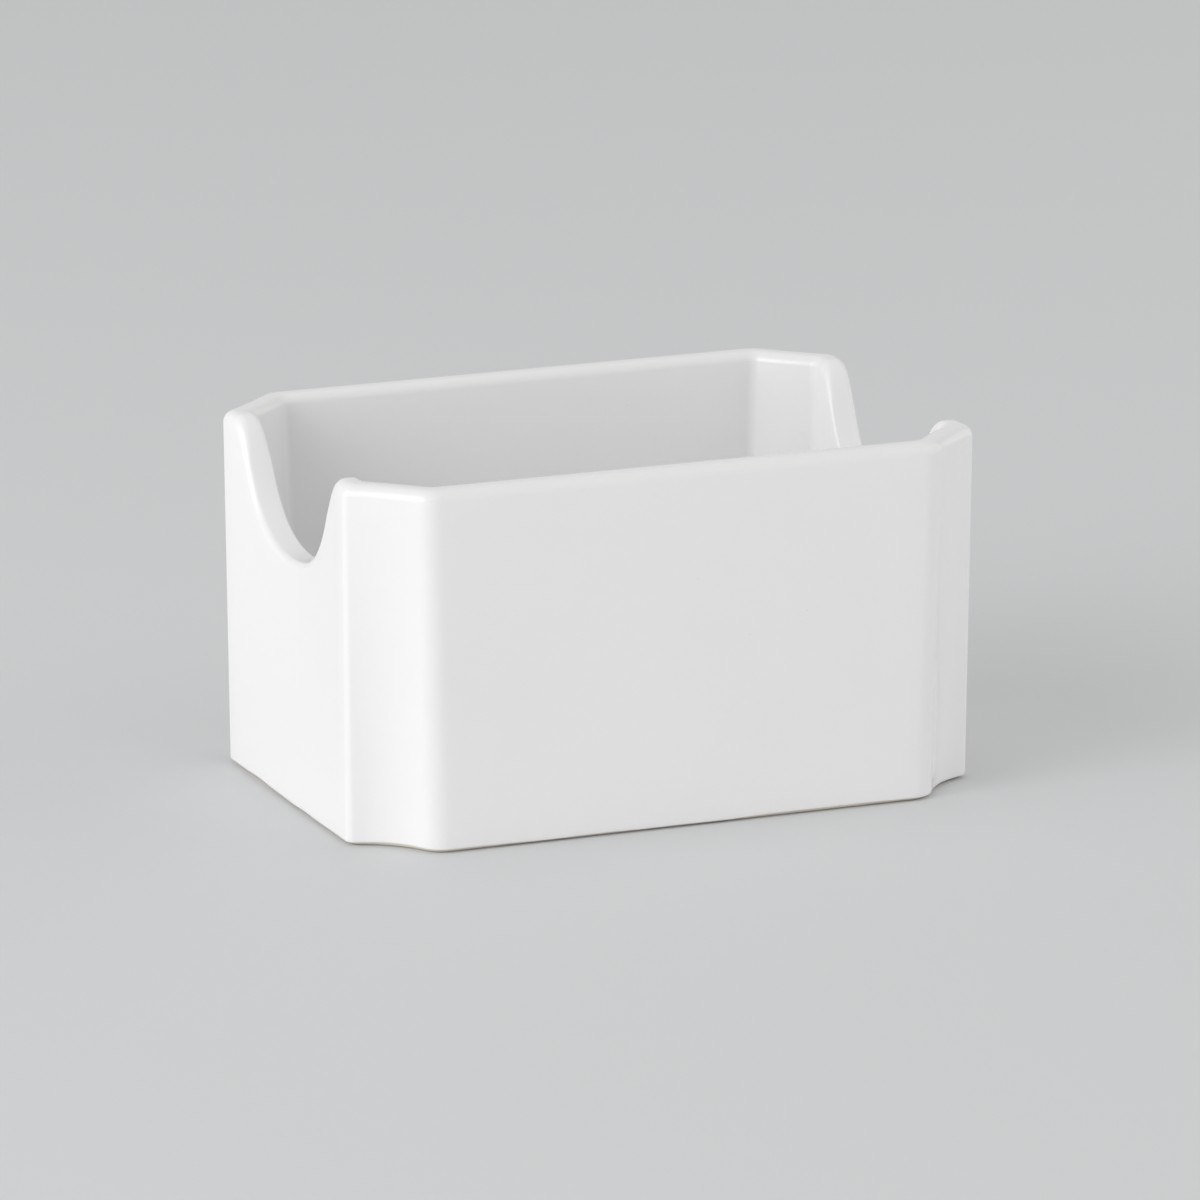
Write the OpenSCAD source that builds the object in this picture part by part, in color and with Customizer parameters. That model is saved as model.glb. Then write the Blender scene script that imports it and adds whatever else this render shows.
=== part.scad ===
// Sugar packet holder for the table: an open box of glazed porcelain, cast and fired in one piece.
// Its four corners are cut away by upright scoops, and each end has a deep finger notch.
// The origin is at the centre of the base, on the table, with the long side along X and Z up.

/* [Size] */
// Overall length, along X, measured just under the rounded rim
length = 111; // [96:0.5:130]
// Overall width, along Y, measured just under the rounded rim
width = 77; // [70:0.5:92]
// Overall height, from the table to the top of the rim
height = 60.5; // [48:0.5:75]

/* [Walls] */
// Wall thickness with its glaze
wall = 4.8; // [4.4:0.1:6]
// Floor thickness with its glaze, from the table to the bottom of the well
base_thick = 6; // [4.5:0.1:9]
// Lean of the two long side walls, outward from foot to rim, in degrees
side_lean = 0.3; // [0:0.05:1.5]
// Lean of the two end walls, outward from foot to rim, in degrees
end_lean = 0.45; // [0:0.05:1.5]
// Inward bow of the two end walls at the middle of the rim, fading out towards the foot and the corners
end_bow = 1.2; // [0:0.1:2]

/* [Corner scoops] */
// Length that a corner scoop takes off the long side
scoop_run_x = 11; // [9:0.25:14]
// Length that a corner scoop takes off the end
scoop_run_y = 10.1; // [8.5:0.25:12]
// Hollow of the scoop at the foot, below the straight line between its creases
scoop_hollow_foot = 1.8; // [0.8:0.1:2.4]
// Hollow of the scoop at the rim, where it fades to a flat
scoop_hollow_rim = 0.3; // [0.1:0.1:1]
// Radius of the upright crease between the end wall and the scoop, outside
end_crease_r = 1.6; // [0.8:0.1:3]
// Radius of the softer upright crease between the scoop and the side wall, outside
side_crease_r = 4.75; // [1:0.25:5.5]
// Radius of both creases inside the well
well_crease_r = 2.5; // [1:0.25:4]

/* [Edges] */
// Radius that rounds the rim and the notches on the outside
rim_outer_r = 2; // [1.2:0.1:2.4]
// Radius that rounds the level rim on the inside
rim_inner_r = 1.7; // [1:0.1:2]
// Radius that rounds the notches on the inside, where the clay was cut
notch_inner_r = 0.6; // [0.6:0.1:1.2]
// Radius of the bottom edge, where the wall turns under to the foot
base_edge_r = 1.5; // [1.2:0.1:2.2]
// Radius where the walls of the well meet its floor
well_floor_r = 5; // [3:0.25:8]

/* [Finger notches] */
// Depth of each notch below the rim
notch_depth = 19; // [12:0.25:24]
// Share of the notch's half width that its rounded bottom draws on
notch_bottom_share = 0.82; // [0.7:0.01:0.92]
// Share of the notch's half width that each rounded shoulder draws on
notch_shoulder_share = 0.29; // [0.26:0.01:0.4]
// Flat rim that is left between a shoulder and the crease beside it, inside the well
notch_land = 0.4; // [0.2:0.1:3]

/* [Foot] */
// Width of the bare ring that the holder stands on
foot_w = 4; // [2.5:0.25:6]
// Rise of the recess inside the foot ring
recess_h = 1.2; // [0.8:0.1:2]

/* [Glaze] */
// Thickness of the glaze
glaze_t = 0.35; // [0.2:0.05:0.5]
// Height above the table at which the outside glaze is wiped off
glaze_line = 0.5; // [0.4:0.05:0.6]

/* [Hidden] */

// Colours: bare fired clay is a warm off-white, glazed clay a clean white
clay_colour = [0.90, 0.88, 0.84];
glaze_colour = [0.96, 0.96, 0.965];

// Steps in each rounded part of the section and of the outline
rim_steps = 5;
floor_steps = 5;
base_steps = 2;
foot_steps = 3;
recess_steps = 2;
crease_steps = 3;
scoop_steps = 4;
notch_steps = 16;

// Height of the widest section, just under the rounded rim
widest_z = height - rim_outer_r;
// Height of the centre of the bottom edge's round
edge_z = base_edge_r - glaze_t;
// Angle round the bottom edge, from level, at which the outside glaze ends
glaze_end = asin((edge_z - glaze_line) / base_edge_r);
// Half the length and half the width of the outside at height z
function half_x(z) = length / 2 - (widest_z - z) * tan(end_lean);
function half_y(z) = width / 2 - (widest_z - z) * tan(side_lean);
// Inward bow of an end wall at a distance y from its middle, where the flat of the wall ends at y = reach
function bow(y, z, reach) = end_bow * cos(90 * min(1, y / reach)) * z / height;

// A scoop at height z: its hollow, and the circle that it follows as [centre x, centre y, radius]
function scoop_hollow(z) = scoop_hollow_foot + (scoop_hollow_rim - scoop_hollow_foot) * z / height;
function scoop_circle(z) =
    let (
        chord = norm([scoop_run_x, scoop_run_y]),
        hollow = scoop_hollow(z),
        radius = (chord * chord / 4 + hollow * hollow) / (2 * hollow),
        reach = (radius - hollow) / chord
    )
    [
        half_x(z) - scoop_run_x / 2 + scoop_run_y * reach,
        half_y(z) - scoop_run_y / 2 + scoop_run_x * reach,
        radius
    ];

// Radius of a crease at a distance inside the outer surface, changing evenly from outside to well
function crease_at(outer_r, inset) = outer_r + (well_crease_r - outer_r) * inset / wall;

// Centre and radius of the round on the crease between the end wall and the scoop, in plan
function end_crease(z, inset) =
    let (
        c = scoop_circle(z),
        r = crease_at(end_crease_r, inset),
        x = half_x(z) - inset - r,
        gap = c[2] + inset + r
    )
    [x, c[1] - sqrt(gap * gap - (x - c[0]) * (x - c[0])), r];
// Centre and radius of the round on the crease between the scoop and the side wall, in plan
function side_crease(z, inset) =
    let (
        c = scoop_circle(z),
        r = crease_at(side_crease_r, inset),
        y = half_y(z) - inset - r,
        gap = c[2] + inset + r
    )
    [c[0] - sqrt(gap * gap - (y - c[1]) * (y - c[1])), y, r];

// Points on an arc in plan round mid = [x, y, radius], with or without its two ends
function arc(mid, from, to, steps, skip = 0) =
    [for (i = [skip : steps - skip])
        let (a = from + (to - from) * i / steps)
        [mid[0] + mid[2] * cos(a), mid[1] + mid[2] * sin(a)]];

// One corner in plan from the end wall to the side wall: crease, scoop, crease
function corner(z, inset) =
    let (
        c = scoop_circle(z),
        end_mid = end_crease(z, inset),
        side_mid = side_crease(z, inset),
        end_turn = atan2(c[1] - end_mid[1], c[0] - end_mid[0]),
        side_turn = atan2(c[1] - side_mid[1], c[0] - side_mid[0])
    )
    concat(
        arc(end_mid, 0, end_turn, crease_steps),
        arc([c[0], c[1], c[2] + inset], end_turn + 180, side_turn + 180, scoop_steps, 1),
        arc(side_mid, side_turn, 90, crease_steps)
    );

// Half of the notch's edge along one end wall, from the bottom of the notch out to the level rim, as one
// smooth curve drawn between four guides, each given as [y, depth below the rim]
notch_half_w = end_crease(widest_z, wall)[1] - notch_land;
notch_shoulder_w = notch_shoulder_share * notch_half_w;
notch_guides = [
    [0, notch_depth],
    [notch_bottom_share * notch_half_w, notch_depth],
    [notch_half_w - notch_shoulder_w, 0],
    [notch_half_w, 0]
];
// A point of the curve, at a way s from 0 at the bottom to 1 at the rim, and the direction it runs in
function notch_point(s) =
    pow(1 - s, 3) * notch_guides[0] + 3 * pow(1 - s, 2) * s * notch_guides[1]
        + 3 * (1 - s) * s * s * notch_guides[2] + pow(s, 3) * notch_guides[3];
function notch_run(s) =
    pow(1 - s, 2) * (notch_guides[1] - notch_guides[0]) + 2 * (1 - s) * s * (notch_guides[2] - notch_guides[1])
        + s * s * (notch_guides[3] - notch_guides[2]);
// Each entry is [y, depth, y part and depth part of the direction into the wall, 0 on the level rim
// growing to 1 below the shoulder]
notch_edge = [for (i = [0 : notch_steps])
    let (p = notch_point(i / notch_steps), run = notch_run(i / notch_steps), size = norm(run))
    [p[0], p[1], -run[1] / size, run[0] / size, min(1, p[1] / notch_shoulder_w)]];

// Place of a point of the notch's edge in the wall's section, between its place [inset, depth] on the
// level rim, at[0], and in the notch, at[1]
function place(e, at) = at[0] + (at[1] - at[0]) * e[4];
// The level rim's own corner in plan
function rim_corner(at) = corner(height - at[0][1], at[0][0]);

// A quarter of a ring that follows the rim and dips into the notch
function rim_quarter(at) =
    let (corner_points = rim_corner(at), reach = corner_points[0][1])
    concat(
        [for (e = notch_edge)
            let (p = place(e, at), y = e[0] + e[2] * p[1], z = height - e[1] - e[3] * p[1])
            [half_x(z) - p[0] - bow(y, z, reach), y, z]],
        [for (p = corner_points) [p[0], p[1], height - at[0][1]]]
    );
// A quarter of a level ring. Its points along the end wall keep the spacing of the rim ring that the
// wall rises to, whose places are given as above.
function level_quarter(inset, z, above) =
    let (
        corner_points = corner(z, inset),
        reach = corner_points[0][1],
        spread = reach / rim_corner(above)[0][1]
    )
    concat(
        [for (e = notch_edge)
            let (y = (e[0] + e[2] * place(e, above)[1]) * spread)
            [half_x(z) - inset - bow(y, z, reach), y, z]],
        [for (p = corner_points) [p[0], p[1], z]]
    );
// The whole ring from its quarter, anticlockwise seen from above
function whole(quarter) =
    let (last = len(quarter) - 1)
    concat(
        quarter,
        [for (i = [last : -1 : 1]) [-quarter[i][0], quarter[i][1], quarter[i][2]]],
        [for (p = quarter) [-p[0], -p[1], p[2]]],
        [for (i = [last : -1 : 1]) [quarter[i][0], -quarter[i][1], quarter[i][2]]]
    );

// Places on the inner and the outer round of the rim's section, skin below the glaze, at an angle a
function inner_round(r, skin, a) = [wall - r + (r - skin) * cos(a), r - (r - skin) * sin(a)];
function inner_places(skin, a) = [inner_round(rim_inner_r, skin, a), inner_round(notch_inner_r, skin, a)];
function outer_round(skin, a) =
    [rim_outer_r - (rim_outer_r - skin) * sin(a), rim_outer_r - (rim_outer_r - skin) * cos(a)];
function outer_places(skin, a) = [outer_round(skin, a), outer_round(skin, a)];

// Rings of the surface that lies skin below the glazed surface, from the well's floor out to the glaze line
function coated_rings(skin) =
    let (
        floor_r = well_floor_r + skin,
        edge_r = base_edge_r - skin,
        well_top = inner_places(skin, 0),
        wall_top = outer_places(skin, 90)
    )
    concat(
        [for (i = [0 : floor_steps])
            let (a = 90 * i / floor_steps, inset = wall - skin + floor_r * (1 - sin(a)))
            whole(level_quarter(inset, base_thick - skin + floor_r * (1 - cos(a)), well_top))],
        [for (i = [0 : rim_steps]) whole(rim_quarter(inner_places(skin, 90 * i / rim_steps)))],
        [for (i = [0 : rim_steps]) whole(rim_quarter(outer_places(skin, 90 * i / rim_steps)))],
        [for (i = [0 : base_steps])
            let (a = glaze_end * i / base_steps)
            whole(level_quarter(base_edge_r - edge_r * cos(a), edge_z - edge_r * sin(a), wall_top))]
    );
// Rings of the bare clay below the glaze line: the rest of the bottom edge, the foot ring and the recess
recess_inset = base_edge_r + foot_w + recess_h;
clay_top = outer_places(glaze_t, 90);
bare_rings = concat(
    [for (i = [1 : foot_steps])
        let (a = glaze_end + (90 - glaze_end) * i / foot_steps)
        whole(level_quarter(base_edge_r - edge_z * cos(a), edge_z - edge_z * sin(a), clay_top))],
    [for (i = [0 : recess_steps])
        let (a = 90 * i / recess_steps)
        whole(level_quarter(recess_inset - recess_h * cos(a), recess_h * sin(a), clay_top))]
);

// A closed solid through a row of rings, with a flat face over the first and the last.
// The two triangles of each patch meet on one diagonal up to the band turn, and on the other after it.
module through(rings, turn) {
    n = len(rings[0]);
    bands = len(rings) - 1;
    hub = len(rings) * n;
    first_z = rings[0][0][2];
    last_z = rings[bands][0][2];
    sides = [for (k = [0 : bands - 1], i = [0 : n - 1])
        let (j = (i + 1) % n, a = k * n + i, b = k * n + j, c = a + n, d = b + n)
        each k < turn ? [[a, b, d], [a, d, c]] : [[a, b, c], [b, d, c]]];
    first = [for (i = [0 : n - 1]) [hub, (i + 1) % n, i]];
    last = [for (i = [0 : n - 1]) [hub + 1, bands * n + i, bands * n + (i + 1) % n]];
    points = concat([for (ring = rings, p = ring) p], [[0, 0, first_z], [0, 0, last_z]]);
    polyhedron(points = points, faces = concat(sides, first, last));
}
function backwards(list) = [for (i = [len(list) - 1 : -1 : 0]) list[i]];

// The fired clay: well, walls, rim and foot, bare only where it stands
module porcelain_body() {
    rings = concat(coated_rings(glaze_t), bare_rings);
    color(clay_colour) through(rings, len(rings));
}

// The glass skin over the outside, the rim, the notches and the well, in one run down to the glaze line
module glaze_coat() {
    outside = coated_rings(0);
    color(glaze_colour) through(concat(outside, backwards(coated_rings(glaze_t))), len(outside));
}

// The patch of glaze on the recess inside the foot ring
module underside_glaze() {
    patch = level_quarter(recess_inset, recess_h, clay_top);
    outline = [for (p = whole(patch)) [p[0], p[1]]];
    color(glaze_colour) translate([0, 0, recess_h - glaze_t]) linear_extrude(height = glaze_t) polygon(outline);
}

porcelain_body();
glaze_coat();
underside_glaze();
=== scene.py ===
"""Looks of a sugar packet holder: white glazed porcelain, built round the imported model.

The glaze, the clay that shows bare at the foot ring, and the glazed recess under the base are
closed meshes. Each is one ring of points that is extruded along the section of the real piece.
"""
import logging
import math
from dataclasses import dataclass, field
from enum import Enum

import bmesh
import bpy
import numpy as np
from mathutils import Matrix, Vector


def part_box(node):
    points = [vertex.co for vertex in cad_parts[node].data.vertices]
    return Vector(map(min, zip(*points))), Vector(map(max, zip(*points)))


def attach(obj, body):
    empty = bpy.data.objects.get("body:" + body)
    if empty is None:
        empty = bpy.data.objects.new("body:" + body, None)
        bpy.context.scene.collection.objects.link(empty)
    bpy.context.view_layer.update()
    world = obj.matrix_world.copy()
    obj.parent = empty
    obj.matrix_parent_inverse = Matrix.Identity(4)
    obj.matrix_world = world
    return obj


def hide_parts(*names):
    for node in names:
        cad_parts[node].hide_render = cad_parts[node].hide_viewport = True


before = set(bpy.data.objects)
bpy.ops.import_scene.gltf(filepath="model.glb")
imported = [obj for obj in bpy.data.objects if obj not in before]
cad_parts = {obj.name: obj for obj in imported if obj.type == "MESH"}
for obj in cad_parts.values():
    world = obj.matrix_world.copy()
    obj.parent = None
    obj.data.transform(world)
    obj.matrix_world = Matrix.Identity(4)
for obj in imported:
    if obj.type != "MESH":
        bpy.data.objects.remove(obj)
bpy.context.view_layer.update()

BODY = "root"
MM = 0.001
QUARTER = math.pi / 2
NOISE_MEAN = 0.5
Colour = tuple[float, float, float]
WHITE: Colour = (1.0, 1.0, 1.0)
DAYLIGHT: Colour = (0.985, 0.995, 1.0)

log = logging.getLogger("sugar_packet_holder")


class Slot(Enum):
    """The record's material slots."""

    GLAZE = "white_glaze"
    CLAY = "bare_porcelain"


class Depth(float, Enum):
    """Depth of the glaze at a place, from 0 where it is thin to 1 where it pools."""

    AT_LINE = 0.3
    EVEN = 0.5
    IN_WELL = 0.6
    IN_RECESS = 0.8
    POOLED = 1.0


def deselect_all() -> None:
    """Deselect every object, so that an operator acts on the new one alone."""
    for other in bpy.context.selected_objects:
        other.select_set(False)


def direction(azimuth: float, elevation: float) -> Vector:
    """Point away from the holder.

    Args:
        azimuth: Degrees round it, anticlockwise from -Y.
        elevation: Degrees above level.

    Returns:
        A vector of length 1.
    """
    a, e = math.radians(azimuth), math.radians(elevation)
    return Vector((math.sin(a) * math.cos(e), -math.cos(a) * math.cos(e), math.sin(e)))


@dataclass(frozen=True)
class HolderSizes:
    """Real sizes of the holder, in metres and radians."""

    length: float
    width: float
    height: float
    wall: float = 4.8 * MM
    base_thick: float = 6 * MM
    side_lean: float = math.radians(0.3)
    end_lean: float = math.radians(0.45)
    end_bow: float = 1.2 * MM
    scoop_run_x: float = 11 * MM
    scoop_run_y: float = 10.1 * MM
    scoop_hollow_foot: float = 1.8 * MM
    scoop_hollow_rim: float = 0.3 * MM
    end_crease_r: float = 1.6 * MM
    side_crease_r: float = 4.75 * MM
    well_crease_r: float = 2.5 * MM
    rim_outer_r: float = 2 * MM
    rim_inner_r: float = 1.7 * MM
    notch_inner_r: float = 0.6 * MM
    notch_outer_r: float = 1.1 * MM
    base_edge_r: float = 1.5 * MM
    well_floor_r: float = 5 * MM
    notch_depth: float = 19 * MM
    notch_bottom_share: float = 0.82
    notch_shoulder_share: float = 0.29
    notch_land: float = 0.4 * MM
    foot_w: float = 4 * MM
    foot_inner_r: float = 0.5 * MM
    recess_h: float = 1.2 * MM
    glaze_t: float = 0.35 * MM
    glaze_line: float = 0.5 * MM

    @classmethod
    def from_frame(cls) -> "HolderSizes":
        """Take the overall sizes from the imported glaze."""
        low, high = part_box("glaze_coat")
        return cls(length=high.x - low.x, width=high.y - low.y, height=high.z)

    @property
    def widest_z(self) -> float:
        """Height of the widest section, just under the rounded rim."""
        return self.height - self.rim_outer_r

    @property
    def recess_inset(self) -> float:
        """Distance from the outside to the flat of the recess."""
        return self.base_edge_r + self.foot_w + self.recess_h


@dataclass(frozen=True)
class Steps:
    """How finely each stretch of the outline and of the section is divided."""

    notch: int = 44
    crease: int = 8
    scoop: int = 14
    side: int = 10
    rim: int = 9
    floor: int = 10
    wall: int = 12
    edge: int = 6
    disc: int = 6
    flat: int = 3


@dataclass(frozen=True)
class Outline:
    """Rings of points that follow the walls, the rim and the notches of the holder."""

    sizes: HolderSizes
    steps: Steps = Steps()

    def half_x(self, z: float | np.ndarray) -> float | np.ndarray:
        """Half of the outside length at height z."""
        s = self.sizes
        return s.length / 2 - (s.widest_z - z) * math.tan(s.end_lean)

    def half_y(self, z: float | np.ndarray) -> float | np.ndarray:
        """Half of the outside width at height z."""
        s = self.sizes
        return s.width / 2 - (s.widest_z - z) * math.tan(s.side_lean)

    def scoop(self, z: float) -> tuple[np.ndarray, float]:
        """Find the circle that a corner scoop follows.

        Args:
            z: Height of the section.

        Returns:
            The circle's centre in plan, and its radius.
        """
        s = self.sizes
        hollow = s.scoop_hollow_foot + (s.scoop_hollow_rim - s.scoop_hollow_foot) * z / s.height
        chord = math.hypot(s.scoop_run_x, s.scoop_run_y)
        radius = (chord * chord / 4 + hollow * hollow) / (2 * hollow)
        reach = (radius - hollow) / chord
        centre = np.array([
            self.half_x(z) - s.scoop_run_x / 2 + s.scoop_run_y * reach,
            self.half_y(z) - s.scoop_run_y / 2 + s.scoop_run_x * reach,
        ])
        return centre, radius

    def bow(self, y: np.ndarray, z: float | np.ndarray, reach: float) -> np.ndarray:
        """Inward bow of an end wall at y, where the flat of the wall ends at y = reach."""
        s = self.sizes
        return s.end_bow * np.cos(QUARTER * np.minimum(1, y / reach)) * z / s.height

    def crease_rounds(self, z: float, inset: float) -> tuple[np.ndarray, np.ndarray]:
        """Find the two rounds beside a scoop.

        Args:
            z: Height of the section.
            inset: Distance inside the outer surface.

        Returns:
            The round beside the end wall and the one beside the side wall, as x, y and radius.
        """
        s = self.sizes
        middle, radius = self.scoop(z)
        share = inset / s.wall
        r = s.end_crease_r + (s.well_crease_r - s.end_crease_r) * share
        x = self.half_x(z) - inset - r
        reach_y = math.sqrt((radius + inset + r) ** 2 - (x - middle[0]) ** 2)
        by_end = np.array([x, middle[1] - reach_y, r])
        r = s.side_crease_r + (s.well_crease_r - s.side_crease_r) * share
        y = self.half_y(z) - inset - r
        reach_x = math.sqrt((radius + inset + r) ** 2 - (y - middle[1]) ** 2)
        by_side = np.array([middle[0] - reach_x, y, r])
        return by_end, by_side

    @staticmethod
    def arc(
        mid: np.ndarray, turn: tuple[float, float], steps: int, skip: int = 0
    ) -> np.ndarray:
        """Points on an arc in plan.

        Args:
            mid: Centre and radius of the arc.
            turn: First and last angle.
            steps: Number of equal steps.
            skip: Number of points left out at each end.

        Returns:
            An array of points, one row each.
        """
        angle = np.linspace(turn[0], turn[1], steps + 1)[skip : steps + 1 - skip]
        return mid[:2] + mid[2] * np.column_stack([np.cos(angle), np.sin(angle)])

    def corner(self, z: float, inset: float) -> np.ndarray:
        """One corner in plan, from the end wall round the scoop to the side wall.

        Args:
            z: Height of the section.
            inset: Distance inside the outer surface.

        Returns:
            The corner's points, one row each.
        """
        middle, radius = self.scoop(z)
        by_end, by_side = self.crease_rounds(z, inset)
        end_turn = math.atan2(*(middle - by_end[:2])[::-1])
        side_turn = math.atan2(*(middle - by_side[:2])[::-1])
        scoop = np.array([*middle, radius + inset])
        steps = self.steps
        return np.vstack([
            self.arc(by_end, (0, end_turn), steps.crease),
            self.arc(scoop, (end_turn + math.pi, side_turn + math.pi), steps.scoop, 1),
            self.arc(by_side, (side_turn, QUARTER), steps.crease),
        ])

    def notch_edge(self) -> np.ndarray:
        """Half of a notch's edge, from its bottom out to the rim, as one smooth curve.

        Returns:
            Rows of y, depth below the rim, the y and depth parts of the direction into the
            wall, and 0 on the level rim growing to 1 below the shoulder.
        """
        s = self.sizes
        half_w = self.crease_rounds(s.widest_z, s.wall)[0][1] - s.notch_land
        shoulder_w = s.notch_shoulder_share * half_w
        guides = np.array([
            [0, s.notch_depth],
            [s.notch_bottom_share * half_w, s.notch_depth],
            [half_w - shoulder_w, 0],
            [half_w, 0],
        ])
        t = np.linspace(0, 1, self.steps.notch + 1)
        u = 1 - t
        point = np.column_stack([u**3, 3 * u**2 * t, 3 * u * t**2, t**3]) @ guides
        run = np.column_stack([u**2, 2 * u * t, t**2]) @ np.diff(guides, axis=0)
        into = np.column_stack([-run[:, 1], run[:, 0]]) / np.linalg.norm(run, axis=1, keepdims=True)
        return np.column_stack([point, into, np.minimum(1, point[:, 1] / shoulder_w)])

    def whole(self, end: np.ndarray, corner: np.ndarray) -> np.ndarray:
        """Close a ring from a quarter of it.

        Args:
            end: Points along the end wall, from its middle outwards.
            corner: Points of the corner, up to the start of the side wall.

        Returns:
            The whole ring, anticlockwise seen from above.
        """
        share = np.linspace(1, 0, self.steps.side + 1)[1:, None]
        side = corner[-1] * np.hstack([share, np.ones_like(share), np.ones_like(share)])
        quarter = np.vstack([end, corner, side])
        back = quarter[-2::-1]
        return np.vstack([
            quarter,
            back * (-1, 1, 1),
            quarter[1:] * (-1, -1, 1),
            back[:-1] * (1, -1, 1),
        ])

    def rim_corner(self, at: "Places") -> np.ndarray:
        """The level rim's own corner, in plan."""
        return self.corner(self.sizes.height - at.rim[1], at.rim[0])

    def rim_ring(self, at: "Places") -> np.ndarray:
        """A ring that follows the rim and dips into the notches.

        Args:
            at: The ring's places in the wall's section.

        Returns:
            The ring's points.
        """
        height = self.sizes.height
        edge = self.notch_edge()
        corner = self.rim_corner(at)
        inset, depth = at.along(edge[:, 4])
        y = edge[:, 0] + edge[:, 2] * depth
        z = height - edge[:, 1] - edge[:, 3] * depth
        x = self.half_x(z) - inset - self.bow(y, z, corner[0][1])
        end = np.column_stack([x, y, z])
        return self.whole(end, np.column_stack([corner, np.full(len(corner), height - at.rim[1])]))

    def level_ring(self, inset: float, z: float, above: "Places") -> np.ndarray:
        """A level ring, spaced along the end wall as the rim ring that its wall rises to.

        Args:
            inset: Distance inside the outer surface.
            z: Height of the ring.
            above: Places of that rim ring.

        Returns:
            The ring's points.
        """
        edge = self.notch_edge()
        corner = self.corner(z, inset)
        reach = corner[0][1]
        _, depth = above.along(edge[:, 4])
        y = (edge[:, 0] + edge[:, 2] * depth) * reach / self.rim_corner(above)[0][1]
        x = self.half_x(z) - inset - self.bow(y, z, reach)
        end = np.column_stack([x, y, np.full(len(y), z)])
        return self.whole(end, np.column_stack([corner, np.full(len(corner), z)]))


@dataclass(frozen=True)
class Places:
    """A ring's inset and depth in the wall's section, on the level rim and in the notches."""

    rim: tuple[float, float]
    notch: tuple[float, float]

    def along(self, share: np.ndarray) -> tuple[np.ndarray, np.ndarray]:
        """Insets and depths between the two.

        Args:
            share: Each point's share of the way into the notch.

        Returns:
            Each point's inset, and its depth.
        """
        rim, notch = np.array(self.rim), np.array(self.notch)
        between = rim + (notch - rim) * share[:, None]
        return between[:, 0], between[:, 1]


@dataclass
class Rings:
    """A row of rings, each with the depth of the glaze on it."""

    points: list[np.ndarray] = field(default_factory=list)
    depths: list[float] = field(default_factory=list)

    def add(self, points: np.ndarray, depth: float = Depth.EVEN) -> None:
        """Add one ring."""
        self.points.append(points)
        self.depths.append(float(depth))

    def rise_to(self, points: np.ndarray, steps: int, depth: float = Depth.EVEN) -> None:
        """Add even rings from the last one to another, which is added too.

        Args:
            points: The ring to end at.
            steps: Number of rings.
            depth: Depth of the glaze on the ring to end at.
        """
        start, first = self.points[-1], self.depths[-1]
        for share in np.linspace(0, 1, steps + 1)[1:]:
            self.add(start + (points - start) * share, first + (depth - first) * share)

    def open_out(self, points: np.ndarray, steps: int) -> None:
        """Add level rings that grow from the middle out to the given one."""
        for share in np.linspace(0, 1, steps + 1)[1:]:
            self.add(points * (share, share, 1))

    def close_in(self, steps: int, dip: float = 0.0) -> None:
        """Add rings that shrink the last one towards its middle.

        Args:
            steps: Number of steps to the middle.
            dip: How much lower the middle lies.
        """
        start = self.points[-1]
        for share in np.linspace(0, 1, steps + 1)[1:-1]:
            inner = start * (1 - share, 1 - share, 1)
            inner[:, 2] -= dip * math.sin(share * QUARTER)
            self.add(inner)


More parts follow.
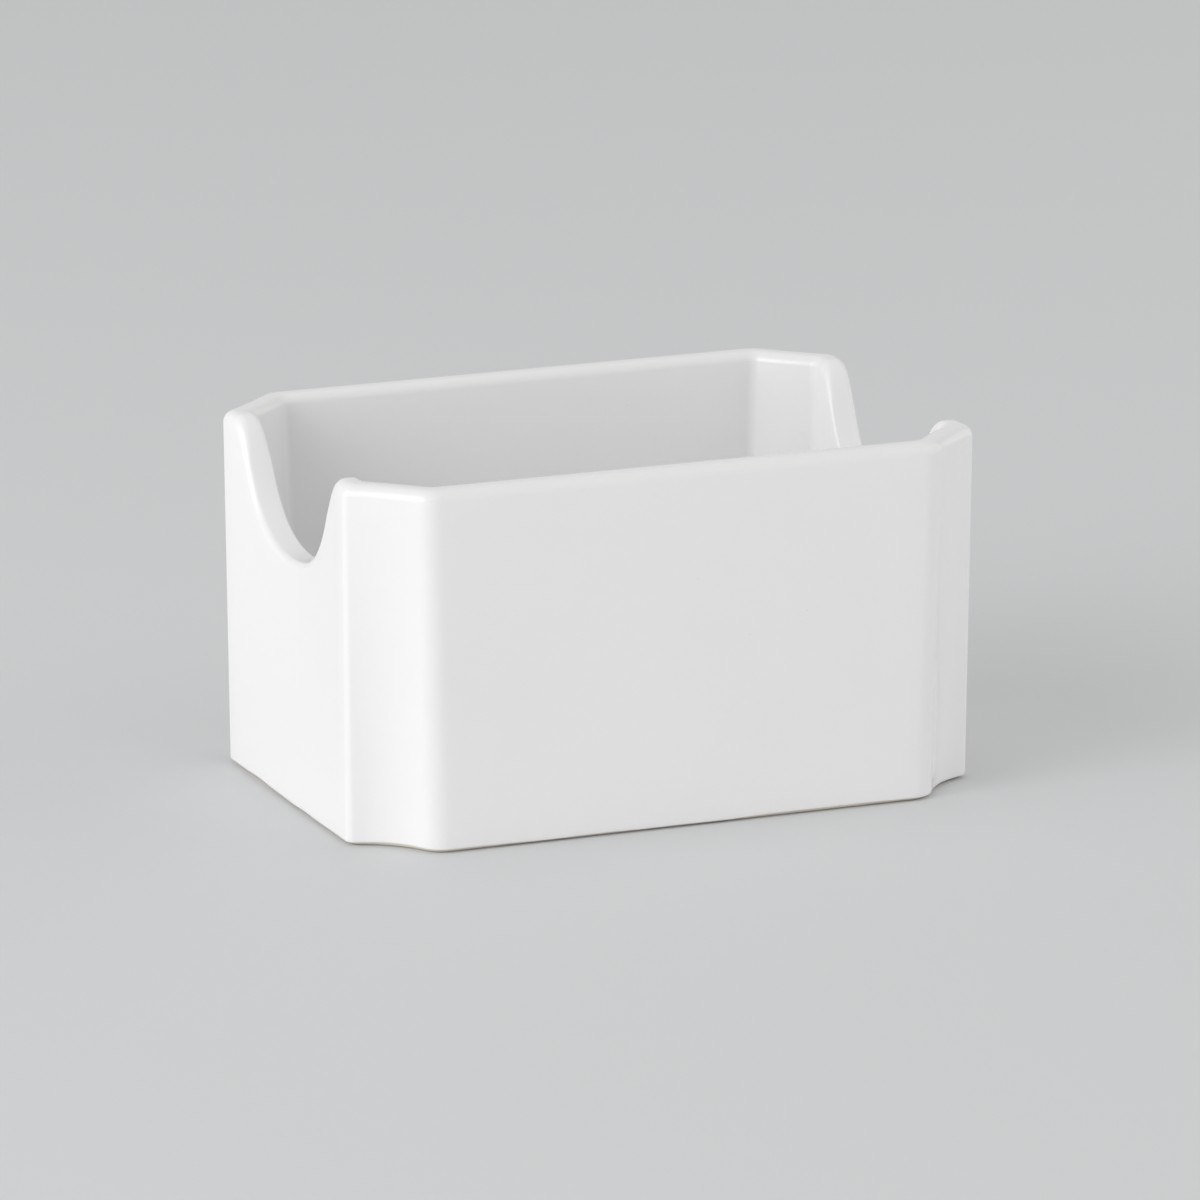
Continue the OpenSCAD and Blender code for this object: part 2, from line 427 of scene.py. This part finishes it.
@dataclass(frozen=True)
class Section:
    """The upright section of the holder, as rows of rings.

    The glaze ends in an uneven line: line_waves gives each wave's count round the foot, its
    share of line_wave and its start. Its rolled lower edge is roll_depth times its own radius
    deep. The glaze in the recess runs patch_reach of the way up the cove round it.
    """

    outline: Outline
    floor_dip: float = 0.25 * MM
    line_wave: float = 0.09 * MM
    line_waves: tuple[tuple[int, float, float], ...] = (
        (5, 1.0, 0.7),
        (11, 0.6, 2.1),
        (23, 0.4, 0.0),
    )
    roll_depth: float = 1.6
    patch_reach: float = 0.4

    @property
    def sizes(self) -> HolderSizes:
        """The holder's sizes."""
        return self.outline.sizes

    def outer_wall_ring(self, skin: float, angle: float) -> np.ndarray:
        """A ring on the rounded bottom edge.

        Args:
            skin: Depth of this surface below the glazed one.
            angle: Angle below level.

        Returns:
            The ring's points.
        """
        s = self.sizes
        edge_r = s.base_edge_r - skin
        inset = s.base_edge_r - edge_r * math.cos(angle)
        z = s.base_edge_r - s.glaze_t - edge_r * math.sin(angle)
        return self.outline.level_ring(inset, z, self.outer_places(skin, QUARTER))

    def outer_places(self, skin: float, angle: float) -> Places:
        """Places on the rim's outer round.

        Args:
            skin: Depth of this surface below the glazed one.
            angle: Angle from the top of the rim.

        Returns:
            The places.
        """
        rim, notch = (
            (r - (r - skin) * math.sin(angle), r - (r - skin) * math.cos(angle))
            for r in (self.sizes.rim_outer_r, self.sizes.notch_outer_r)
        )
        return Places(rim, notch)

    def inner_places(self, skin: float, angle: float) -> Places:
        """Places on the rim's inner round.

        Args:
            skin: Depth of this surface below the glazed one.
            angle: Angle from level.

        Returns:
            The places.
        """
        s = self.sizes
        rim, notch = (
            (s.wall - r + (r - skin) * math.cos(angle), r - (r - skin) * math.sin(angle))
            for r in (s.rim_inner_r, s.notch_inner_r)
        )
        return Places(rim, notch)

    def line_angle(self) -> float:
        """Angle round the bottom edge at which the glaze ends."""
        s = self.sizes
        return math.asin((s.base_edge_r - s.glaze_t - s.glaze_line) / s.base_edge_r)

    def up_and_over(self, rings: Rings, skin: float) -> None:
        """Add the outer wall, the rim, the well's walls and its floor.

        Args:
            rings: Rings that end at the top of the rounded bottom edge.
            skin: Depth of this surface below the glazed one.
        """
        s, o = self.sizes, self.outline
        floor_r = s.well_floor_r + skin
        well_top = self.inner_places(skin, 0)
        rings.rise_to(o.rim_ring(self.outer_places(skin, QUARTER)), o.steps.wall)
        for a in np.linspace(QUARTER, 0, o.steps.rim + 1)[1:]:
            thin = Depth.EVEN * (1 - math.sin(2 * a))
            rings.add(o.rim_ring(self.outer_places(skin, a)), thin)
        for a in np.linspace(QUARTER, 0, o.steps.rim + 1):
            thin = Depth.EVEN * (1 - math.sin(2 * a))
            rings.add(o.rim_ring(self.inner_places(skin, a)), thin)
        well_foot = o.level_ring(s.wall - skin, s.base_thick - skin + floor_r, well_top)
        rings.rise_to(well_foot, o.steps.wall, Depth.IN_WELL)
        for a in np.linspace(0, QUARTER, o.steps.floor + 1)[1:]:
            inset = s.wall - skin + floor_r * (1 - math.cos(a))
            z = s.base_thick - skin + floor_r * (1 - math.sin(a))
            pooled = Depth.IN_WELL + (Depth.POOLED - Depth.IN_WELL) * math.sin(a)
            rings.add(o.level_ring(inset, z, well_top), pooled)
        rings.close_in(o.steps.disc, self.floor_dip)

    def uneven_line(self, ring: np.ndarray) -> np.ndarray:
        """Wave the line in which the glaze ends.

        Args:
            ring: A ring at the mean height of the line.

        Returns:
            How much higher the glaze ends at each of its points.
        """
        around = np.arctan2(ring[:, 1] * self.sizes.length, ring[:, 0] * self.sizes.width)
        waves = (share * np.sin(count * around + start) for count, share, start in self.line_waves)
        return self.line_wave * sum(waves)

    def glaze_rings(self) -> Rings:
        """Rings of the glazed surface, from its rolled lower edge up, over the rim and down.

        Returns:
            The rings, in that order.
        """
        s = self.sizes
        line = self.line_angle()
        wave = self.uneven_line(self.outer_wall_ring(0, line))
        roll = s.glaze_t / 2
        roll_turn = roll / s.base_edge_r
        rings = Rings()
        for a in np.linspace(0, QUARTER, self.outline.steps.edge + 1):
            skin = roll * (1 - math.sin(a)) * self.roll_depth
            ring = self.outer_wall_ring(skin, line + roll_turn * (math.cos(a) - 1))
            ring[:, 2] += wave
            rings.add(ring, Depth.AT_LINE)
        for a in np.linspace(line - roll_turn, 0, self.outline.steps.edge + 1)[1:]:
            ring = self.outer_wall_ring(0, a)
            ring[:, 2] += wave * a / line
            rings.add(ring)
        self.up_and_over(rings, 0)
        return rings

    def clay_rings(self) -> Rings:
        """Rings of the fired clay, from the recess out over the foot ring, up, and into the well.

        Returns:
            The rings, in that order.
        """
        s, o = self.sizes, self.outline
        top = self.outer_places(s.glaze_t, QUARTER)
        foot_start = s.recess_inset - s.recess_h
        cove_r = s.recess_h - s.foot_inner_r
        rings = Rings()
        rings.open_out(o.level_ring(s.recess_inset, s.recess_h, top), o.steps.disc)
        for a in np.linspace(QUARTER, 0, o.steps.edge + 1)[1:]:
            inset = s.recess_inset - cove_r * math.cos(a)
            rings.add(o.level_ring(inset, s.recess_h - cove_r * (1 - math.sin(a)), top))
        for a in np.linspace(0, QUARTER, o.steps.edge + 1)[1:]:
            inset = foot_start + s.foot_inner_r * math.cos(a)
            rings.add(o.level_ring(inset, s.foot_inner_r * (1 - math.sin(a)), top))
        rings.rise_to(self.outer_wall_ring(s.glaze_t, QUARTER), o.steps.flat)
        for a in np.linspace(QUARTER, 0, o.steps.edge + 1)[1:]:
            rings.add(self.outer_wall_ring(s.glaze_t, a))
        self.up_and_over(rings, s.glaze_t)
        return rings

    def patch_rings(self) -> Rings:
        """Rings of the glaze in the recess, from the middle of its lower face out and up.

        Returns:
            The rings, in that order.
        """
        s, o = self.sizes, self.outline
        top = self.outer_places(s.glaze_t, QUARTER)
        low = s.recess_h - s.glaze_t
        outer = s.recess_inset - self.patch_reach * (s.recess_h - s.foot_inner_r)
        rings = Rings()
        rings.open_out(o.level_ring(outer + s.glaze_t, low, top), o.steps.disc)
        for a in np.linspace(0, QUARTER, o.steps.edge + 1)[1:]:
            inset = outer + s.glaze_t * (1 - math.sin(a))
            z = low + s.glaze_t * (1 - math.cos(a))
            rings.add(o.level_ring(inset, z, top), Depth.IN_RECESS)
        rings.close_in(o.steps.flat)
        return rings


class RingMesh:
    """A mesh made from one ring that is extruded from place to place."""

    PLACE = "place_in_ring"
    DEPTH = "glaze_depth"

    def __init__(self, name: str, rings: Rings) -> None:
        """Add the first ring as a circle of points.

        Args:
            name: Name of the piece.
            rings: The rings that it runs through.
        """
        deselect_all()
        self.rings = rings
        first = rings.points[0]
        reach = float(np.abs(first[:, :2]).max())
        bpy.ops.mesh.primitive_circle_add(vertices=len(first), radius=reach, location=(0, 0, 0))
        self.obj = bpy.context.object
        self.obj.name = self.obj.data.name = name
        bpy.ops.object.mode_set(mode="EDIT")
        bpy.ops.mesh.select_mode(type="EDGE")
        bm = bmesh.from_edit_mesh(self.obj.data)
        place = bm.verts.layers.int.new(self.PLACE)
        bm.verts.layers.float.new(self.DEPTH)
        bm.verts.ensure_lookup_table()
        for i, vert in enumerate(bm.verts):
            vert[place] = i
        bpy.ops.mesh.select_all(action="SELECT")

    def place(self, index: int) -> None:
        """Put the selected points on one of the rings.

        Args:
            index: The ring's number in the row.
        """
        points, depth = self.rings.points[index], self.rings.depths[index]
        bm = bmesh.from_edit_mesh(self.obj.data)
        place = bm.verts.layers.int[self.PLACE]
        glaze = bm.verts.layers.float[self.DEPTH]
        for vert in bm.verts:
            if vert.select:
                vert.co = points[vert[place]]
                vert[glaze] = depth
        bmesh.update_edit_mesh(self.obj.data)

    def build(self, close_start: bool) -> bpy.types.Object:
        """Extrude the ring through all its places and close its last opening.

        Args:
            close_start: Whether the first ring is closed over too.

        Returns:
            The finished object, its faces outward.
        """
        self.place(0)
        for index in range(1, len(self.rings.points)):
            bpy.ops.mesh.extrude_edges_move()
            self.place(index)
        self.close_over()
        if close_start:
            bpy.ops.mesh.select_all(action="DESELECT")
            bpy.ops.mesh.select_non_manifold(
                extend=False, use_wire=False, use_multi_face=False, use_verts=False
            )
            self.close_over()
        bpy.ops.mesh.select_all(action="SELECT")
        bpy.ops.mesh.normals_make_consistent(inside=False)
        bpy.ops.object.mode_set(mode="OBJECT")
        return self.obj

    @staticmethod
    def close_over() -> None:
        """Close the selected ring with a fan of faces about its middle."""
        bpy.ops.mesh.extrude_edges_move()
        bpy.ops.mesh.merge(type="CENTER")


def apply_modifier(obj: bpy.types.Object, kind: str, settings: dict[str, object]) -> None:
    """Add a modifier to an object, set it and apply it.

    Args:
        obj: The object.
        kind: The modifier's type.
        settings: Its settings, by name.
    """
    modifier = obj.modifiers.new(kind.title(), kind)
    for name, value in settings.items():
        setattr(modifier, name, value)
    bpy.context.view_layer.objects.active = obj
    bpy.ops.object.modifier_apply(modifier=modifier.name)


def faces_outward(obj: bpy.types.Object, height: float) -> bool:
    """Whether the highest faces of a piece look up."""
    tops = [p for p in obj.data.polygons if p.center.z > height]
    return sum(p.normal.z * p.area for p in tops) > 0


def flip_faces(obj: bpy.types.Object) -> None:
    """Turn all the faces of a mesh round.

    Args:
        obj: The object that has the mesh.
    """
    bpy.context.view_layer.objects.active = obj
    bpy.ops.object.mode_set(mode="EDIT")
    bpy.ops.mesh.select_all(action="SELECT")
    bpy.ops.mesh.flip_normals()
    bpy.ops.object.mode_set(mode="OBJECT")


@dataclass(frozen=True)
class Noise:
    """Soft noise: waves to the metre, octaves of finer noise, and each axis's share of them."""

    scale: float
    detail: float = 2.0
    stretch: tuple[float, float, float] = (1, 1, 1)


@dataclass(frozen=True)
class Dots:
    """Scattered dots: one to a cell, cells to the metre, a dot's radius and its soft share."""

    scale: float
    radius: float
    soft: float = 0.5


@dataclass(frozen=True)
class Ease:
    """The values at which a mask starts from 0 and reaches 1."""

    start: float
    end: float


class Value:
    """A shader socket that takes part in Python sums."""

    def __init__(self, paint: "Paint", socket: bpy.types.NodeSocket) -> None:
        """Wrap an output socket of a material that is being painted."""
        self.paint = paint
        self.socket = socket

    def _math(self, operation: str, *values: "float | Value") -> "Value":
        """Add a Math node for one operation."""
        sockets = dict(enumerate(values))
        return self.paint.node("ShaderNodeMath", {"operation": operation}, sockets)["Value"]

    def __add__(self, other: "float | Value") -> "Value":
        """Sum."""
        return self._math("ADD", self, other)

    def __radd__(self, other: float) -> "Value":
        """Sum with a number first."""
        return self._math("ADD", other, self)

    def __sub__(self, other: "float | Value") -> "Value":
        """Difference."""
        return self._math("SUBTRACT", self, other)

    def __rsub__(self, other: float) -> "Value":
        """Difference from a number."""
        return self._math("SUBTRACT", other, self)

    def __mul__(self, other: "float | Value") -> "Value":
        """Product."""
        return self._math("MULTIPLY", self, other)

    def __rmul__(self, other: float) -> "Value":
        """Product with a number first."""
        return self._math("MULTIPLY", other, self)

    def ramp(self, ease: Ease) -> "Value":
        """Ease from 0 to 1, and stay there.

        Args:
            ease: Where it starts and ends.

        Returns:
            The eased value.
        """
        settings = {"interpolation_type": "SMOOTHSTEP"}
        sockets = {"Value": self, "From Min": ease.start, "From Max": ease.end}
        return self.paint.node("ShaderNodeMapRange", settings, sockets)["Result"]


class Outputs:
    """The output sockets of a node, by name."""

    def __init__(self, paint: "Paint", node: bpy.types.Node) -> None:
        """Hold a node."""
        self.paint = paint
        self.node = node

    def __getitem__(self, name: str) -> Value:
        """One output that is in use, as a value."""
        found = next(s for s in self.node.outputs if s.name == name and s.enabled)
        return Value(self.paint, found)


class Paint:
    """A material, or the room round it, and the nodes that are added to it."""

    def __init__(self, owner: bpy.types.Material | bpy.types.World) -> None:
        """Start with no nodes but the place on the object.

        Args:
            owner: The material or room that is painted.
        """
        self.owner = owner
        owner.use_nodes = True
        self.tree = owner.node_tree
        self.tree.nodes.clear()
        self.place = self.node("ShaderNodeTexCoord", {}, {})["Object"]

    @classmethod
    def material(cls, name: str) -> "Paint":
        """Start an empty material."""
        return cls(bpy.data.materials.new(name))

    def node(
        self, kind: str, settings: dict[str, object], sockets: dict[str | int, object]
    ) -> Outputs:
        """Add a node.

        Args:
            kind: The node's type.
            settings: Its own settings, set first.
            sockets: Values or links of its inputs, by name or number.

        Returns:
            The node's outputs.
        """
        node = self.tree.nodes.new(kind)
        for name, value in settings.items():
            setattr(node, name, value)
        for key, value in sockets.items():
            if isinstance(key, int):
                target = node.inputs[key]
            else:
                target = next(s for s in node.inputs if s.name == key and s.enabled)
            if isinstance(value, Value):
                self.tree.links.new(value.socket, target)
            else:
                target.default_value = value
        return Outputs(self, node)

    def noise(self, noise: Noise) -> Value:
        """Soft noise from 0 to 1.

        Args:
            noise: How coarse it is.

        Returns:
            The noise.
        """
        sockets = {"Vector": self.place, "Scale": noise.stretch}
        where = self.node("ShaderNodeMapping", {}, sockets)["Vector"]
        sockets = {"Vector": where, "Scale": noise.scale, "Detail": noise.detail}
        return self.node("ShaderNodeTexNoise", {}, sockets)["Fac"]

    def dots(self, dots: Dots) -> Value:
        """Scattered round dots, 1 inside and 0 outside.

        Args:
            dots: How many there are and how large.

        Returns:
            The mask.
        """
        sockets = {"Vector": self.place, "Scale": dots.scale}
        distance = self.node("ShaderNodeTexVoronoi", {}, sockets)["Distance"]
        edge = dots.radius * dots.scale
        return 1 - distance.ramp(Ease(edge * (1 - dots.soft), edge))

    def blend(self, share: Value, first: object, second: object) -> Value:
        """Mix two colours.

        Args:
            share: Share of the second colour.
            first: The first colour, as a link or a value.
            second: The second colour.

        Returns:
            The mixed colour.
        """
        settings = {"data_type": "RGBA", "clamp_factor": True}
        sockets = {"Factor": share, "A": first, "B": second}
        return self.node("ShaderNodeMix", settings, sockets)["Result"]

    def bump(self, height: Value, distance: float, below: Value | None = None) -> Value:
        """A surface that is raised by a height.

        Args:
            height: The height, as a share of the distance.
            distance: The full height, in metres.
            below: Another bump that this one lies on.

        Returns:
            The normal.
        """
        sockets: dict[str | int, object] = {"Height": height, "Distance": distance, "Strength": 1.0}
        if below is not None:
            sockets["Normal"] = below
        return self.node("ShaderNodeBump", {}, sockets)["Normal"]

    def eye_share(self) -> Value:
        """1 for what is seen straight, in gloss or through glass, 0 for light between surfaces."""
        rays = self.node("ShaderNodeLightPath", {}, {})
        return rays["Is Camera Ray"] + rays["Is Glossy Ray"] + rays["Is Transmission Ray"]

    def either(self, share: Value, first: Value, second: Value) -> Value:
        """Mix two shaders by a share."""
        return self.node("ShaderNodeMixShader", {}, {0: share, 1: first, 2: second})["Shader"]

    def surface(self, sockets: dict[str | int, object]) -> Value:
        """A surface with the given sockets."""
        return self.node("ShaderNodeBsdfPrincipled", {}, sockets)["BSDF"]

    def finish(
        self, shader: Value, kind: str = "ShaderNodeOutputMaterial"
    ) -> bpy.types.Material | bpy.types.World:
        """Use a shader as the material, or as the room.

        Args:
            shader: What the surface or the room shows.
            kind: The output node's type.

        Returns:
            The finished material or room.
        """
        self.node(kind, {}, {"Surface": shader})
        return self.owner


def rgba(colour: Colour) -> tuple[float, float, float, float]:
    """A colour with full alpha."""
    return (*colour, 1.0)


@dataclass(frozen=True)
class GlazeFinish:
    """Clear gloss glaze over white porcelain, with clouds, specks, smears, pinholes and ripples."""

    white: Colour = (0.860, 0.855, 0.856)
    pooled: Colour = (0.830, 0.833, 0.837)
    thin: Colour = (0.845, 0.839, 0.833)
    speck: Colour = (0.60, 0.57, 0.52)
    ior: float = 1.5
    roughness: float = 0.10
    cloud: Noise = Noise(26, 3)
    cloud_edge: Ease = Ease(0.45, 0.75)
    cloud_strength: float = 0.6
    cloud_dulling: float = 0.02
    drift: Noise = Noise(9, 1)
    pooled_depths: Ease = Ease(0.55, 1.05)
    pooled_drift: float = 0.3
    thin_depths: Ease = Ease(0.0, 0.45)
    thin_drift: float = 0.2
    thin_roughness: float = 0.05
    specks: Dots = Dots(150, 0.16 * MM)
    speck_patches: Noise = Noise(30, 0)
    speck_patch_edge: Ease = Ease(0.45, 0.6)
    speck_strength: float = 0.35
    smears: Noise = Noise(70, 4, (1, 1, 0.35))
    smear_edge: Ease = Ease(0.5, 0.8)
    smear_roughness: float = 0.07
    pinholes: Dots = Dots(230, 0.12 * MM, 0.9)
    pinhole_patches: Noise = Noise(45, 0)
    pinhole_patch_edge: Ease = Ease(0.5, 0.65)
    pinhole_depth: float = 25e-6
    ripples: Noise = Noise(240, 2)
    ripple_height: float = 7e-6

    def colour(self, paint: Paint, pooled: Value, thin: Value, cloud: Value) -> Value:
        """Mix the glaze's colour.

        Args:
            paint: The material.
            pooled: Where the glaze pools.
            thin: Where it is thin.
            cloud: The noise of its clouds.

        Returns:
            The colour.
        """
        colour = paint.blend(pooled, rgba(self.white), rgba(self.pooled))
        colour = paint.blend(thin, colour, rgba(self.thin))
        dull = tuple(c * (1 - self.cloud_dulling) for c in self.white)
        colour = paint.blend(cloud.ramp(self.cloud_edge) * self.cloud_strength, colour, rgba(dull))
        patches = paint.noise(self.speck_patches).ramp(self.speck_patch_edge)
        specks = paint.dots(self.specks) * patches * self.speck_strength
        return paint.blend(specks, colour, rgba(self.speck))

    def relief(self, paint: Paint) -> Value:
        """Raise the ripples and sink the pinholes.

        Args:
            paint: The material.

        Returns:
            The normal.
        """
        patches = paint.noise(self.pinhole_patches).ramp(self.pinhole_patch_edge)
        holes = paint.dots(self.pinholes) * patches
        ripples = paint.bump(paint.noise(self.ripples), self.ripple_height)
        return paint.bump(1 - holes, self.pinhole_depth, ripples)

    def paint(self, name: str) -> bpy.types.Material:
        """Make the glaze's material.

        Args:
            name: The material's name.

        Returns:
            The material.
        """
        paint = Paint.material(name)
        depth = paint.node("ShaderNodeAttribute", {"attribute_name": RingMesh.DEPTH}, {})["Fac"]
        cloud = paint.noise(self.cloud)
        drift = paint.noise(self.drift)
        pooled = (depth + (cloud - NOISE_MEAN) * self.pooled_drift).ramp(self.pooled_depths)
        thin = 1 - (depth + (drift - NOISE_MEAN) * self.thin_drift).ramp(self.thin_depths)
        smears = paint.noise(self.smears).ramp(self.smear_edge) * self.smear_roughness
        sockets = {
            "Base Color": self.colour(paint, pooled, thin, cloud),
            "Roughness": self.roughness + smears + thin * self.thin_roughness,
            "Normal": self.relief(paint),
            "IOR": self.ior,
        }
        return paint.finish(paint.surface(sockets))


@dataclass(frozen=True)
class ClayFinish:
    """Bare fired porcelain: matt, faintly warm and rubbed grey where it stands."""

    clay: Colour = (0.74, 0.70, 0.62)
    fired_edge: Colour = (0.70, 0.64, 0.55)
    rubbed: Colour = (0.50, 0.48, 0.45)
    ior: float = 1.5
    roughness: float = 0.8
    rubbed_smoother: float = 0.15
    cloud: Noise = Noise(60, 4)
    cloud_edge: Ease = Ease(0.4, 0.7)
    cloud_strength: float = 0.5
    off_table: Ease = Ease(0.02 * MM, 0.25 * MM)
    scuffs: Noise = Noise(160, 5)
    scuff_edge: Ease = Ease(0.5, 0.72)
    scuff_strength: float = 0.7
    grit: Dots = Dots(520, 0.22 * MM, 0.6)
    grit_strength: float = 0.35
    fine_grain: Noise = Noise(2600, 3)
    coarse_grain: Noise = Noise(420, 3)
    grain_height: float = 18e-6

    def paint(self, name: str) -> bpy.types.Material:
        """Make the bare clay's material.

        Args:
            name: The material's name.

        Returns:
            The material.
        """
        paint = Paint.material(name)
        height = paint.node("ShaderNodeSeparateXYZ", {}, {"Vector": paint.place})["Z"]
        touching = 1 - height.ramp(self.off_table)
        cloud = paint.noise(self.cloud).ramp(self.cloud_edge) * self.cloud_strength
        scuffs = touching * paint.noise(self.scuffs).ramp(self.scuff_edge) * self.scuff_strength
        grit = paint.dots(self.grit) * self.grit_strength
        colour = paint.blend(cloud, rgba(self.clay), rgba(self.fired_edge))
        colour = paint.blend(scuffs, colour, rgba(self.rubbed))
        colour = paint.blend(grit, colour, rgba(self.rubbed))
        grain = paint.bump(paint.noise(self.fine_grain), self.grain_height)
        grain = paint.bump(paint.noise(self.coarse_grain), self.grain_height, grain)
        sockets = {
            "Base Color": colour,
            "Roughness": self.roughness - touching * self.rubbed_smoother,
            "Normal": grain,
            "IOR": self.ior,
        }
        return paint.finish(paint.surface(sockets))


@dataclass
class Porcelain:
    """The holder's three layers: its clay, the glaze over it and the glaze in its recess."""

    sizes: HolderSizes
    glaze: GlazeFinish = GlazeFinish()
    clay: ClayFinish = ClayFinish()
    smooth_below: float = math.radians(50)
    pieces: list[bpy.types.Object] = field(default_factory=list)

    def __post_init__(self) -> None:
        """Work out the section that the layers share."""
        self.section = Section(Outline(self.sizes))

    def keep(
        self, obj: bpy.types.Object, node: str, material: bpy.types.Material
    ) -> None:
        """Dress a piece and put it in the place of its CAD node.

        Args:
            obj: The piece.
            node: The CAD node that it stands for.
            material: Its material.
        """
        deselect_all()
        obj.select_set(True)
        bpy.context.view_layer.objects.active = obj
        bpy.ops.object.shade_smooth_by_angle(angle=self.smooth_below)
        obj.data.materials.clear()
        obj.data.materials.append(material)
        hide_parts(node)
        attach(obj, BODY)
        self.pieces.append(obj)
        log.info("%s: %d faces, stands for %s", obj.name, len(obj.data.polygons), node)

    def build_glaze(self) -> None:
        """Make the glaze over the outside, the rim, the notches and the well."""
        obj = RingMesh("glaze_skin", self.section.glaze_rings()).build(close_start=False)
        if not faces_outward(obj, self.sizes.height - self.sizes.glaze_t):
            flip_faces(obj)
        apply_modifier(obj, "SOLIDIFY", {"thickness": self.sizes.glaze_t, "offset": -1.0})
        self.keep(obj, "glaze_coat", self.glaze.paint("white_glaze"))

    def build_clay(self) -> None:
        """Make the fired clay, which shows at the foot ring."""
        obj = RingMesh("clay_body", self.section.clay_rings()).build(close_start=True)
        self.keep(obj, "porcelain_body", self.clay.paint("bare_porcelain"))

    def build_patch(self) -> None:
        """Make the glaze in the recess inside the foot ring."""
        obj = RingMesh("recess_glaze", self.section.patch_rings()).build(close_start=True)
        self.keep(obj, "underside_glaze", self.glaze.paint("recess_glaze"))


@dataclass(frozen=True)
class SoftLamp:
    """A large soft lamp that points at the holder."""

    name: str
    azimuth: float
    elevation: float
    distance: float
    size: float
    power: float
    colour: Colour = WHITE

    def build(self, target: Vector) -> None:
        """Hang the lamp round the target.

        Args:
            target: The place that it points at.
        """
        away = direction(self.azimuth, self.elevation)
        bpy.ops.object.light_add(type="AREA", location=target + away * self.distance)
        lamp = bpy.context.object
        lamp.name = self.name
        lamp.rotation_euler = away.to_track_quat("Z", "Y").to_euler()
        lamp.data.shape = "DISK"
        lamp.data.size = self.size
        lamp.data.energy = self.power
        lamp.data.color = self.colour
        lamp.visible_camera = False


@dataclass(frozen=True)
class Studio:
    """A plain pale floor, soft light and the camera."""

    target: Vector = Vector((0, 0, 0.030))
    lamps: tuple[SoftLamp, ...] = (
        SoftLamp("left_softbox", -77, 16, 1.6, 2.0, 14.1, DAYLIGHT),
        SoftLamp("left_window", -74, 22, 1.6, 0.8, 3.9, DAYLIGHT),
        SoftLamp("camera_softbox", -22, 40, 1.6, 2.4, 0.75),
        SoftLamp("right_softbox", 75, 20, 1.6, 2.4, 8.6),
    )
    floor_reach: float = 8.0
    floor_corners: int = 96
    floor_seen: Colour = (0.68, 0.685, 0.69)
    floor_lit: Colour = (0.85, 0.85, 0.85)
    floor_roughness: float = 0.7
    room_light: float = 0.585
    backdrop: Colour = (0.66, 0.665, 0.67)
    azimuth: float = -22.203
    elevation: float = 14.52
    distance: float = 1.60224
    aim_right: float = 0.543 * MM
    aim_up: float = -0.779 * MM
    lens: float = 289.5
    sensor: float = 36.0
    nearest: float = 0.01

    def build_floor(self) -> None:
        """Lay the floor, white for the light on it and grey to the camera and in gloss."""
        deselect_all()
        bpy.ops.mesh.primitive_circle_add(
            vertices=self.floor_corners, radius=self.floor_reach, fill_type="NGON"
        )
        floor = bpy.context.object
        floor.name = "studio_floor"
        paint = Paint.material("studio_floor")
        lit, seen = (
            paint.surface({"Base Color": rgba(colour), "Roughness": self.floor_roughness})
            for colour in (self.floor_lit, self.floor_seen)
        )
        floor.data.materials.append(paint.finish(paint.either(paint.eye_share(), lit, seen)))

    def build_room(self) -> None:
        """Light the room evenly, and show the backdrop's own tone to the camera and in gloss."""
        paint = Paint(bpy.data.worlds.new("studio_room"))
        lit, seen = (
            paint.node("ShaderNodeBackground", {}, sockets)["Background"]
            for sockets in (
                {"Color": rgba(WHITE), "Strength": self.room_light},
                {"Color": rgba(self.backdrop), "Strength": 1.0},
            )
        )
        shader = paint.either(paint.eye_share(), lit, seen)
        bpy.context.scene.world = paint.finish(shader, "ShaderNodeOutputWorld")

    def build_camera(self) -> None:
        """Set the camera at the photograph's angle."""
        back = direction(self.azimuth, self.elevation)
        right = direction(self.azimuth + 90, 0)
        up = back.cross(right)
        aim = self.target + right * self.aim_right + up * self.aim_up
        bpy.ops.object.camera_add(location=aim + back * self.distance)
        camera = bpy.context.object
        camera.name = "studio_camera"
        camera.rotation_euler = back.to_track_quat("Z", "Y").to_euler()
        camera.data.lens = self.lens
        camera.data.sensor_width = self.sensor
        camera.data.clip_start = self.nearest
        bpy.context.scene.camera = camera

    def build(self) -> None:
        """Set up the whole studio."""
        self.build_floor()
        self.build_room()
        for lamp in self.lamps:
            lamp.build(self.target)
        self.build_camera()
        bpy.context.scene.view_settings.view_transform = "Standard"


def main() -> None:
    """Build the holder and its studio."""
    logging.basicConfig(level=logging.INFO, format="%(name)s: %(message)s")
    holder = Porcelain(HolderSizes.from_frame())
    holder.build_clay()
    holder.build_glaze()
    holder.build_patch()
    Studio().build()
    log.info("%d pieces built", len(holder.pieces))


if __name__ == "__main__":
    main()
